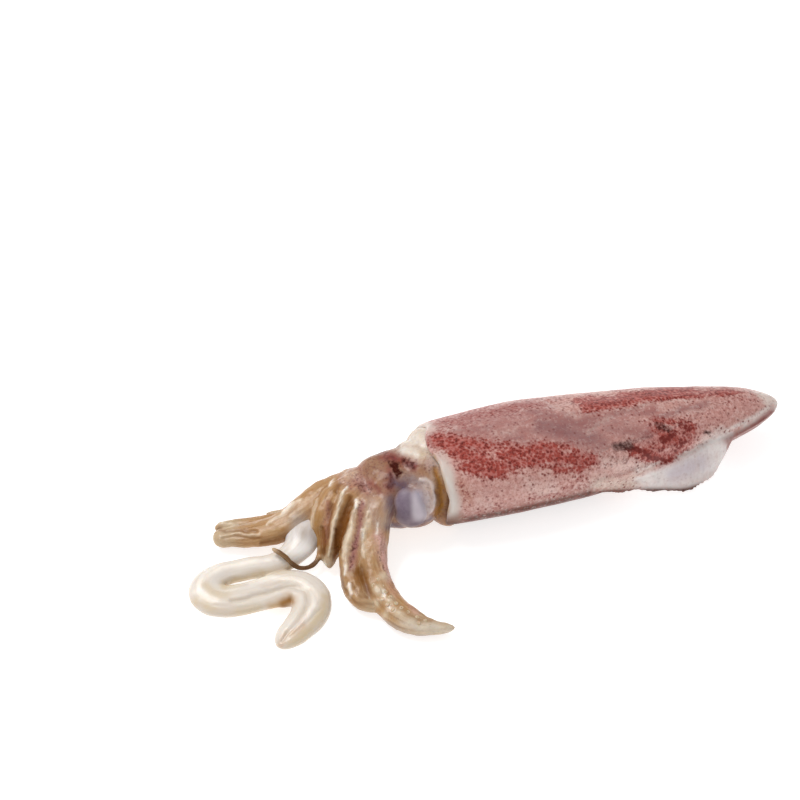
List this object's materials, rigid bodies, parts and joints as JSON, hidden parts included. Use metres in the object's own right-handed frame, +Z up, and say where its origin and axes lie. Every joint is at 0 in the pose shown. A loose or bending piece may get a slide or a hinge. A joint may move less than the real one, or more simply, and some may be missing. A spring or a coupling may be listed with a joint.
{
  "type": "patagonian squid",
  "caption": "Whole raw squid lying on its belly: tapered mantle with side fins, head with eyes, spread arms and long looped tentacles, flat underside to rest on.",
  "frame": {"origin": "the flat belly on the table, under the middle of the mantle", "axes": "+X along the body from the arms to the tail tip, +Z up from the table, -Y the side that the picture shows"},
  "size_m": [0.2675, 0.115, 0.0369],
  "materials": {
    "mantle_skin": "wet skin, pink with dark red spotted patches",
    "fin_skin": "wet thin skin, silver white",
    "head_skin": "wet skin, brown and pink, finely spotted",
    "eye": "smooth wet eyeball, violet grey",
    "arm_flesh": "wet translucent flesh, amber with cream crests",
    "tentacle_flesh": "wet smooth flesh, cream white"
  },
  "bodies": {
    "root": {"squid": "mantle_skin"}
  },
  "joints": []
}
